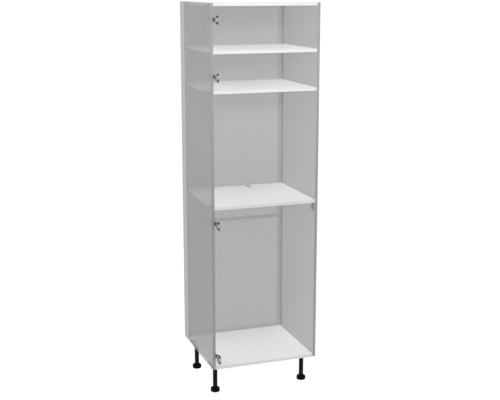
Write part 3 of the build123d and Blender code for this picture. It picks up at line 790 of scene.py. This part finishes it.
    def grow(
        self, name: str, rounds: list[Round], sizes: dict[str, float], material: bpy.types.Material
    ) -> bpy.types.Object:
        """Make the tree's result a plain mesh.

        Args:
            name: the piece's name.
            rounds: where each shape stands and which way is up.
            sizes: a value in metres, or a count, for each named input.
            material: what it is dressed in.

        Returns:
            One object at the origin with its place in its mesh.
        """
        dots = bpy.data.meshes.new(name + "_places")
        dots.from_pydata([tuple(r.foot) for r in rounds], [], [])
        ups = dots.attributes.new("up", "FLOAT_VECTOR", "POINT")
        ups.data.foreach_set("vector", [c for r in rounds for c in r.up])
        piece = bpy.data.objects.new(name, dots)
        bpy.context.scene.collection.objects.link(piece)
        maker = piece.modifiers.new("maker", "NODES")
        maker.node_group = self.tree
        for item in self.tree.interface.items_tree:
            if item.in_out == "INPUT" and item.name in sizes:
                maker[item.identifier] = sizes[item.name]
            if item.in_out == "INPUT" and item.name == "Material":
                maker[item.identifier] = material
        graph = bpy.context.evaluated_depsgraph_get()
        mesh = bpy.data.meshes.new_from_object(piece.evaluated_get(graph))
        piece.modifiers.clear()
        piece.data = mesh
        bpy.data.meshes.remove(dots)
        mesh.name = name
        mesh.polygons.foreach_set("use_smooth", [True] * len(mesh.polygons))
        mesh.set_sharp_from_angle(angle=SHARP_ANGLE)
        LOG.info("made %s: %d shapes, %d faces", name, len(rounds), len(mesh.polygons))
        return piece


@dataclass
class SubAssembly:
    """A group of the frame's nodes that are dressed together."""

    frame: dict
    shelf: FinishShelf
    slots: tuple[str, ...] = ()

    def dress(self) -> None:
        """Put each node's finish on the node's own mesh."""
        for row in self.frame["record"]["subparts"]:
            if row["material_slot"] not in self.slots:
                continue
            node = self.frame["nodes"][row["node"]]
            node.data.materials.clear()
            node.data.materials.append(self.shelf.take(row["material_slot"]))
            LOG.info("dressed %s in %s", row["node"], row["material_slot"])

    def set_in(self, piece: bpy.types.Object, node: str, body: str, slot: str) -> None:
        """Put a made piece in a node's stead.

        Args:
            piece: the finished piece.
            node: the node it stands for.
            body: the body that both ride on.
            slot: the record's slot for its finish; not used.
        """
        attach(piece, body)
        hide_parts(node)


@dataclass
class Carcass(SubAssembly):
    """The boards, their edge bands, the back and its joint strip."""

    slots: tuple[str, ...] = (
        "ghost_board",
        "ghost_back",
        "side_edge_band",
        "white_board",
        "edge_band",
        "strip_plastic",
    )
    clear: tuple[str, ...] = ("ghost_board", "ghost_back", "side_edge_band")
    lets_light_in: tuple[str, ...] = ("ghost_board", "side_edge_band")
    lean_mm: float = 0.1

    def build(self) -> None:
        """Dress the boards and make the see-through ones."""
        self.dress()
        for row in self.frame["record"]["subparts"]:
            if row["material_slot"] in self.clear:
                self.make_clear(row["node"], row["material_slot"])

    def make_clear(self, node: str, slot: str) -> None:
        """Copy a see-through board a hair leaner, clear of the boards that touch it.

        Two faces in one plane can't be told apart through it. Light passes the sides, so that the inside
        isn't gloomy, and the back stops it, so that each shelf is dimmer towards its rear.

        Args:
            node: the board's node.
            slot: the record's slot for its finish.
        """
        copy = bmesh.new()
        copy.from_mesh(self.frame["nodes"][node].data)
        bmesh.ops.remove_doubles(copy, verts=copy.verts, dist=SAME_SPOT)
        copy.normal_update()
        moves = [(v, v.normal * v.calc_shell_factor() * self.lean_mm * MM) for v in copy.verts]
        for corner, inward in moves:
            corner.co -= inward
        mesh = bpy.data.meshes.new(f"{node}_clear")
        copy.to_mesh(mesh)
        copy.free()
        mesh.materials.append(self.shelf.take(slot))
        piece = bpy.data.objects.new(f"{node}_clear", mesh)
        bpy.context.scene.collection.objects.link(piece)
        if slot in self.lets_light_in:
            piece.visible_shadow = False
            piece.visible_diffuse = False
        self.set_in(piece, node, CARCASS_BODY, slot)
        LOG.info("%s made lean", node)


@dataclass
class ScrewKind:
    """A pan-head screw with a cross recess and a wound thread, sized in millimetres."""

    head_r: float = 3.6
    head_tall: float = 1.6
    shank_r: float = 2.0
    pitch: float = 1.4
    thread_share: float = 0.16
    tip_share: float = 0.2
    recess_span: float = 3.8
    recess_wide: float = 0.9
    recess_deep: float = 0.9
    thread_points: int = 14
    tree: ShapeTree | None = field(default=None, init=False)

    HEAD = Profile(
        [(0.0, 1.0), (0.3, 1.0), (0.6, 0.95), (0.8, 0.87), (0.92, 0.77), (1.0, 0.64)], sides=24, rings=10
    )
    SHANK = Profile([(0.0, 0.12), (0.2, 0.82), (1.0, 0.82)], sides=12, rings=10)

    def shape(self) -> ShapeTree:
        """Build the screw's tree.

        Returns:
            The tree, made on first use.
        """
        if self.tree is None:
            names = ["Head Radius", "Head Height", "Shank Radius", "Shank Length", "Thread Radius"]
            names += ["Thread Depth", "Thread Length", "Thread Turns", "Tip Length"]
            names += ["Recess Span", "Recess Width", "Recess Depth", "Full Length"]
            made = ShapeTree("pan_head_screw", names)
            head = made.turned(made.size("Head Radius"), made.size("Head Height"), self.HEAD)
            head = made.cross_cut(
                made.raised(head, made.size("Shank Length")),
                made.size("Recess Span"),
                made.size("Recess Width"),
                made.size("Recess Depth"),
                made.size("Full Length"),
            )
            shank = made.turned(made.size("Shank Radius"), made.size("Shank Length"), self.SHANK)
            wound = made.thread(
                made.size("Thread Radius"),
                made.size("Thread Depth"),
                made.size("Thread Length"),
                made.size("Thread Turns"),
                self.thread_points,
            )
            made.close([head, shank, made.raised(wound, made.size("Tip Length"))])
            self.tree = made
        return self.tree

    def grow(self, name: str, node: bpy.types.Object, material: bpy.types.Material) -> bpy.types.Object:
        """Set a screw in each place that a node has one.

        Args:
            name: the piece's name.
            node: the frame's screws.
            material: their finish.

        Returns:
            All of them as one piece.
        """
        rounds = rounds_of(node)
        length = rounds[0].length / MM - self.head_tall
        tip = self.tip_share * length
        wound_long = length - tip - self.pitch
        thread_deep = self.thread_share * self.shank_r
        sizes = {
            "Head Radius": self.head_r,
            "Head Height": self.head_tall,
            "Shank Radius": self.shank_r,
            "Shank Length": length,
            "Thread Radius": self.shank_r - thread_deep,
            "Thread Depth": thread_deep,
            "Thread Length": wound_long,
            "Tip Length": tip,
            "Recess Span": self.recess_span,
            "Recess Width": self.recess_wide,
            "Recess Depth": 2 * self.recess_deep,
            "Full Length": length + self.head_tall,
        }
        sizes = {key: value * MM for key, value in sizes.items()}
        sizes["Thread Turns"] = wound_long / self.pitch
        return self.shape().grow(name, rounds, sizes, material)


@dataclass
class Fittings(SubAssembly):
    """The rear clip and the angle plates with their screws, the cams, bolts, dowels and shelf pins."""

    slots: tuple[str, ...] = (
        "clip_plastic",
        "plate_metal",
        "cam_zinc",
        "dowel_wood",
        "pin_steel",
        "screw_steel",
    )
    dowel_r: float = 4.0
    flutes: int = 16
    flute_deep: float = 0.35
    screws: ScrewKind = field(default_factory=ScrewKind)

    CHAMFERED = Profile([(0.0, 0.8), (0.05, 1.0), (0.95, 1.0), (1.0, 0.8)], sides=64, rings=20)
    FULL_DEPTH = [(0.0, 1.0), (1.0, 1.0)]

    def build(self) -> None:
        """Dress the nodes, then set screws and fluted dowels in their places."""
        self.dress()
        for name, node in (("clip_screws", "back_clip_screws"), ("plate_screws", "angle_plate_screws")):
            steel = self.shelf.take("screw_steel")
            piece = self.screws.grow(name, self.frame["nodes"][node], steel)
            self.set_in(piece, node, CARCASS_BODY, "screw_steel")
        self.make_dowels()

    def make_dowels(self) -> None:
        """Fluted beech dowels with chamfered ends."""
        tree = ShapeTree("fluted_dowel", ["Radius", "Length", "Flutes", "Flute Depth"])
        flutes = Flutes(tree.size("Flutes"), tree.size("Flute Depth"), self.FULL_DEPTH)
        dowel = tree.turned(tree.size("Radius"), tree.size("Length"), self.CHAMFERED, flutes)
        tree.close([dowel])
        rounds = rounds_of(self.frame["nodes"]["dowels"])
        sizes = {
            "Radius": self.dowel_r * MM,
            "Length": rounds[0].length,
            "Flutes": float(self.flutes),
            "Flute Depth": self.flute_deep * MM,
        }
        piece = tree.grow("fluted_dowels", rounds, sizes, self.shelf.take("dowel_wood"))
        self.set_in(piece, "dowels", CARCASS_BODY, "dowel_wood")


@dataclass
class Legs(SubAssembly):
    """Four sockets under the base, with their posts, screws and adjustable feet."""

    slots: tuple[str, ...] = ("leg_plastic", "foot_plastic")
    foot_r: float = 25.5
    foot_tall: float = 24.0
    top_round: float = 9.0
    sole_round: float = 4.0
    foot_sides: int = 180
    foot_rings: int = 48
    stem_r: float = 5.5
    stem_long: float = 45.0
    stem_pitch: float = 2.5
    plain_turns: float = 2.0
    thread_deep: float = 0.6
    ribs: int = 30
    rib_deep: float = 1.1
    thread_points: int = 20
    screws: ScrewKind = field(default_factory=ScrewKind)
    corners: tuple[str, ...] = ("front_left", "rear_left", "front_right", "rear_right")

    # How far the ribs are pressed in, up the foot's side
    GRIP = [(0.0, 0.0), (0.17, 0.0), (0.23, 1.0), (0.56, 1.0), (0.63, 0.0), (1.0, 0.0)]
    STEM = Profile([(0.0, 0.89), (0.97, 0.89), (1.0, 0.7)], sides=24, rings=33)

    def build(self) -> None:
        """Dress the sockets and posts, then set in the screws and the ribbed feet."""
        self.dress()
        node = "leg_socket_screws"
        steel = self.shelf.take("screw_steel")
        piece = self.screws.grow("leg_screws", self.frame["nodes"][node], steel)
        self.set_in(piece, node, CARCASS_BODY, "screw_steel")
        tree = self.foot_tree()
        for corner in self.corners:
            self.make_foot(tree, corner)

    def foot_tree(self) -> ShapeTree:
        """Build a foot's tree.

        Returns:
            A rounded puck with a ribbed grip, on a threaded stem.
        """
        names = ["Radius", "Height", "Stem Radius", "Stem Length", "Ribs", "Rib Depth"]
        names += ["Thread Radius", "Thread Depth", "Thread Length", "Thread Turns"]
        tree = ShapeTree("ribbed_foot", names)
        side = rounded_outline(self.foot_r, self.foot_tall, self.sole_round, self.top_round)
        profile = Profile(side, sides=self.foot_sides, rings=self.foot_rings)
        ribs = Flutes(tree.size("Ribs"), tree.size("Rib Depth"), self.GRIP)
        puck = tree.turned(tree.size("Radius"), tree.size("Height"), profile, ribs)
        stem = tree.turned(tree.size("Stem Radius"), tree.size("Stem Length"), self.STEM)
        wound = tree.thread(
            tree.size("Thread Radius"),
            tree.size("Thread Depth"),
            tree.size("Thread Length"),
            tree.size("Thread Turns"),
            self.thread_points,
        )
        top = tree.size("Height")
        tree.close([puck, tree.raised(stem, top), tree.raised(wound, top)])
        return tree

    def make_foot(self, tree: ShapeTree, corner: str) -> None:
        """Set a foot in at one corner.

        Args:
            tree: the foot's tree.
            corner: which leg it belongs to.
        """
        node = "foot_" + corner
        low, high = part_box(node)
        foot = Vector(((low.x + high.x) / 2, (low.y + high.y) / 2, low.z))
        wound_long = self.stem_long - self.plain_turns * self.stem_pitch
        sizes = {
            "Radius": self.foot_r,
            "Height": self.foot_tall,
            "Stem Radius": self.stem_r,
            "Stem Length": self.stem_long,
            "Rib Depth": self.rib_deep,
            "Thread Radius": self.stem_r - self.thread_deep,
            "Thread Depth": self.thread_deep,
            "Thread Length": wound_long,
        }
        sizes = {key: value * MM for key, value in sizes.items()}
        sizes["Ribs"] = float(self.ribs)
        sizes["Thread Turns"] = wound_long / self.stem_pitch
        stand = Round(foot, Vector((0.0, 0.0, 1.0)), high.z - low.z)
        piece = tree.grow("ribbed_foot_" + corner, [stand], sizes, self.shelf.take("foot_plastic"))
        self.set_in(piece, node, node, "foot_plastic")


@dataclass
class Hinges(SubAssembly):
    """Four concealed hinges with their mounting plates, arms, links, cups, sleeves and screws."""

    slots: tuple[str, ...] = ("hinge_steel", "cup_steel", "sleeve_plastic")
    count: int = 4
    sleeve_r: float = 3.2
    sleeve_long: float = 8.0
    sleeve_bore: float = 2.0
    bore_long: float = 24.0
    base_screws: ScrewKind = field(default_factory=lambda: ScrewKind(shank_r=2.5))
    arm_screws: ScrewKind = field(default_factory=lambda: ScrewKind(pitch=0.8))

    # Where each barb ends in its crest and the next one's neck begins, up the sleeve
    BARBS = [(0.12, 0.13), (0.34, 0.35), (0.56, 0.57), (0.78, 0.79)]
    BARB_NECK = 0.82
    SLEEVE_TIP = 0.92
    SLEEVE_SIDES = 28
    SLEEVE_RINGS = 100
    BORE = Profile([(0.0, 1.0), (1.0, 1.0)], sides=20, rings=1)

    def build(self) -> None:
        """Dress the nodes, then set in the screws and the ribbed sleeves."""
        self.dress()
        steel = self.shelf.take("screw_steel")
        rows = (
            ("hinge_base_screws", "hinge_plate_screws", self.base_screws),
            ("hinge_arm_fixings", "hinge_arm_screws", self.arm_screws),
        )
        for name, node, kind in rows:
            piece = kind.grow(name, self.frame["nodes"][node], steel)
            self.set_in(piece, node, CARCASS_BODY, "screw_steel")
        self.make_sleeves()

    def make_sleeves(self) -> None:
        """Ribbed press-in sleeves, two on each cup, with their bores open."""
        tree = ShapeTree("ribbed_sleeve", ["Radius", "Length", "Bore Radius", "Bore Length"])
        steps = [step for crest, neck in self.BARBS for step in ((crest, 1.0), (neck, self.BARB_NECK))]
        outline = [(0.0, 1.0), *steps, (1.0, self.SLEEVE_TIP)]
        profile = Profile(outline, sides=self.SLEEVE_SIDES, rings=self.SLEEVE_RINGS)
        body = tree.turned(tree.size("Radius"), tree.size("Length"), profile)
        bore = tree.turned(tree.size("Bore Radius"), tree.size("Bore Length"), self.BORE)
        tree.close([tree.cut(body, [bore])])
        sizes = {
            "Radius": self.sleeve_r * MM,
            "Length": self.sleeve_long * MM,
            "Bore Radius": self.sleeve_bore * MM,
            "Bore Length": self.bore_long * MM,
        }
        for number in range(1, self.count + 1):
            node = f"hinge_cup_sleeves_{number}"
            rounds = rounds_of(self.frame["nodes"][node])
            nylon = self.shelf.take("sleeve_plastic")
            piece = tree.grow(f"ribbed_sleeves_{number}", rounds, sizes, nylon)
            self.set_in(piece, node, f"hinge_{number}_cup", "sleeve_plastic")


@dataclass
class Studio:
    """The floor, the light and the camera, in metres where a name gives no other unit."""

    floor_half: float = 30.0
    floor_level: float = -0.026
    floor_tone: float = 0.2
    floor_light: float = 0.6
    floor_seen: float = 0.9
    sky: float = 1.26
    sky_overhead: float = 0.75
    sky_seen: float = 1.05
    lamp_place: tuple[float, float, float] = (-0.5, -3.4, 2.95)
    lamp_aim: tuple[float, float, float] = (0.0, -0.1, 2.02)
    lamp_size: float = 1.2
    lamp_spread_deg: float = 20.0
    lamp_watts: float = 1.7
    fill_aim: tuple[float, float, float] = (0.0, 1.0, -0.12)
    fill_strength: float = 2.0
    fill_finishes: tuple[str, ...] = (GHOST_BACK.name, WHITE_BOARD.name)
    camera_place: tuple[float, float, float] = (-1.742, -4.952, 2.197)
    heading_deg: float = 19.495
    tilt_deg: float = 12.539
    lens_mm: float = 69.35
    sensor_mm: float = 36.0
    far_m: float = 200.0

    WHITE = (1.0, 1.0, 1.0, 1.0)

    def build(self) -> None:
        """Make each of them in turn."""
        self.make_floor()
        self.make_world()
        self.make_lamp()
        self.make_fill()
        self.make_camera()

    def make_floor(self) -> None:
        """A plain pale floor, lit a little from itself so that the object's shadow stays faint.

        It lies just under the feet at their lowest setting, so that they show there.
        """
        mesh = bpy.data.meshes.new("floor")
        h, z = self.floor_half, self.floor_level
        mesh.from_pydata([(-h, -h, z), (h, -h, z), (h, h, z), (-h, h, z)], [], [(0, 1, 2, 3)])
        floor = bpy.data.objects.new("floor", mesh)
        bpy.context.scene.collection.objects.link(floor)
        material = bpy.data.materials.new("pale_floor")
        material.use_nodes = True
        tree = material.node_tree
        tree.nodes.clear()
        path = add_node(tree, "ShaderNodeLightPath")
        surfaces = [
            add_node(
                tree,
                "ShaderNodeBsdfPrincipled",
                {
                    "Base Color": (self.floor_tone, self.floor_tone, self.floor_tone, 1.0),
                    "Roughness": 1.0,
                    "Specular IOR Level": 0.0,
                    "Emission Color": self.WHITE,
                    "Emission Strength": glow,
                },
            )
            for glow in (self.floor_light, self.floor_seen)
        ]
        both = add_node(
            tree,
            "ShaderNodeMixShader",
            {},
            {0: path.outputs["Is Camera Ray"], 1: surfaces[0].outputs[0], 2: surfaces[1].outputs[0]},
        )
        add_node(tree, "ShaderNodeOutputMaterial", {}, {0: both.outputs[0]})
        mesh.materials.append(material)

    def make_world(self) -> None:
        """White all round, as a light tent, and dimmer overhead to spare the top board."""
        world = bpy.data.worlds.new("light_tent")
        bpy.context.scene.world = world
        world.use_nodes = True
        tree = world.node_tree
        tree.nodes.clear()
        path = add_node(tree, "ShaderNodeLightPath")
        place = add_node(tree, "ShaderNodeTexCoord")
        height = add_node(tree, "ShaderNodeSeparateXYZ", {}, {0: place.outputs["Generated"]})
        strength = add_node(
            tree,
            "ShaderNodeMapRange",
            {"To Min": self.sky, "To Max": self.sky_overhead},
            {"Value": height.outputs["Z"]},
        )
        light = add_node(
            tree, "ShaderNodeBackground", {"Color": self.WHITE}, {"Strength": strength.outputs[0]}
        )
        seen = add_node(tree, "ShaderNodeBackground", {"Color": self.WHITE, "Strength": self.sky_seen})
        both = add_node(
            tree,
            "ShaderNodeMixShader",
            {},
            {0: path.outputs["Is Camera Ray"], 1: light.outputs[0], 2: seen.outputs[0]},
        )
        add_node(tree, "ShaderNodeOutputWorld", {}, {0: both.outputs[0]})

    def make_lamp(self) -> None:
        """A soft lamp in front, narrowed to the upper compartments, which their shelves keep dim."""
        lamp = bpy.data.lights.new("upper_soft", "AREA")
        lamp.size = self.lamp_size
        lamp.spread = math.radians(self.lamp_spread_deg)
        lamp.energy = self.lamp_watts
        made = bpy.data.objects.new("upper_soft", lamp)
        made.location = self.lamp_place
        aim = Vector(self.lamp_aim) - Vector(self.lamp_place)
        made.rotation_euler = aim.to_track_quat("-Z", "Y").to_euler()
        bpy.context.scene.collection.objects.link(made)

    def make_fill(self) -> None:
        """An even fill from the front, without shadow, which keeps the back flat under the shelves.

        It lights only the back and the white boards. The back's tone is set darker, as painted shade, to
        offset it.
        """
        fill = bpy.data.lights.new("front_fill", "SUN")
        fill.energy = self.fill_strength
        fill.use_shadow = False
        made = bpy.data.objects.new("front_fill", fill)
        made.rotation_euler = Vector(self.fill_aim).to_track_quat("-Z", "Y").to_euler()
        made.visible_glossy = False
        lit = bpy.data.collections.new("lit_by_front_fill")
        for piece in bpy.context.scene.objects:
            if any(slot.name in self.fill_finishes for slot in piece.material_slots):
                lit.objects.link(piece)
        made.light_linking.receiver_collection = lit
        bpy.context.scene.collection.objects.link(made)

    def make_camera(self) -> None:
        """The camera, at the picture's viewpoint."""
        scene = bpy.context.scene
        data = bpy.data.cameras.new("viewpoint")
        data.sensor_width = self.sensor_mm
        data.lens = self.lens_mm
        data.clip_end = self.far_m
        camera = bpy.data.objects.new("viewpoint", data)
        camera.location = self.camera_place
        pitch = math.radians(QUARTER_TURN_DEG - self.tilt_deg)
        camera.rotation_euler = (pitch, 0, math.radians(-self.heading_deg))
        scene.collection.objects.link(camera)
        scene.camera = camera
        scene.view_settings.view_transform = "Standard"


def main() -> None:
    """Build everything in order."""
    logging.basicConfig(level=logging.INFO, format="%(message)s")
    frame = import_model()
    shelf = FinishShelf()
    for assembly in (Carcass, Fittings, Legs, Hinges):
        assembly(frame, shelf).build()
    Studio().build()


if __name__ == "__main__":
    main()
